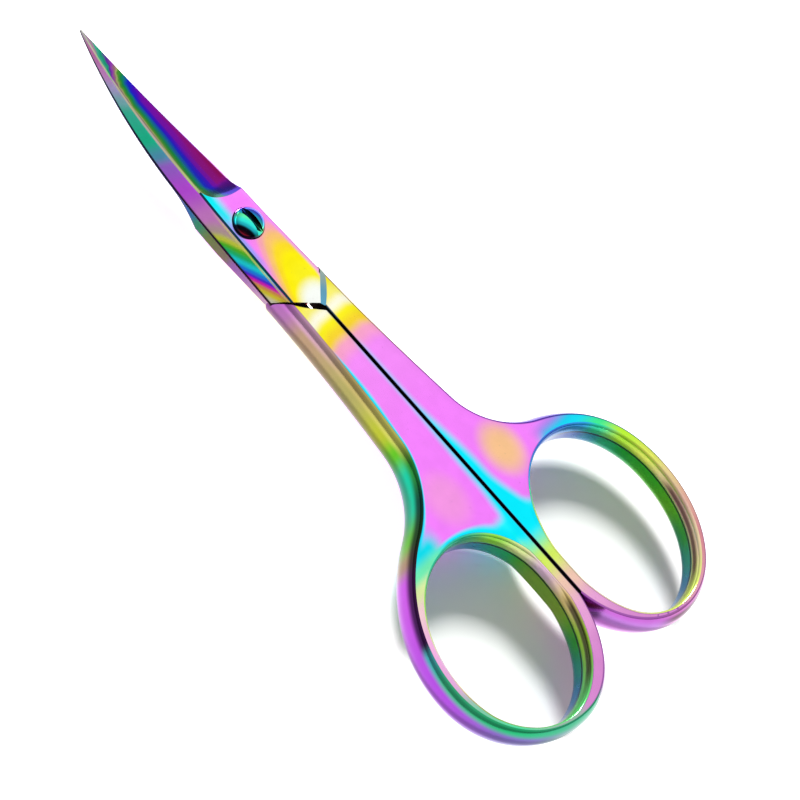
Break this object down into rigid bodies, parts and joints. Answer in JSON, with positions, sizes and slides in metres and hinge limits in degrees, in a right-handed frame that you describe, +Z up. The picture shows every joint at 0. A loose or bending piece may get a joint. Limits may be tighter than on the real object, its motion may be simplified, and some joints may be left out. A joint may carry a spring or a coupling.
{
  "type": "curved cuticle scissors",
  "caption": "Small forged scissors with fine curved tips, oval finger loops, a slotted dome pivot screw and a polished rainbow interference coating.",
  "frame": {"origin": "centre of the closed scissors' footprint, on the plane that the flat handles rest on", "axes": "+X along the closed scissors towards the tips, +Z up out of the side with the screw head, +Y towards the handle of the lower half; the blades meet in the plane y = -0.175 mm and slide on each other at z = 2.25 mm"},
  "size_m": [0.0896, 0.0412, 0.0053],
  "materials": {
    "upper_half_coating": "mirror-polished steel with a rainbow interference coating",
    "lower_half_coating": "mirror-polished steel with a rainbow interference coating",
    "screw_coating": "polished steel screw with the same coating, teal to blue"
  },
  "bodies": {
    "lower_scissor_half": {"lower_half": "lower_half_coating", "pivot_screw": "screw_coating"},
    "upper_scissor_half": {"upper_half": "upper_half_coating"}
  },
  "joints": [
    {"name": "pivot", "type": "hinge", "parent": "lower_scissor_half", "child": "upper_scissor_half", "pos_m": [0.0178, -0.00017, 0.00225], "axis": [0, 0, 1], "range_deg": [0, 50]}
  ]
}
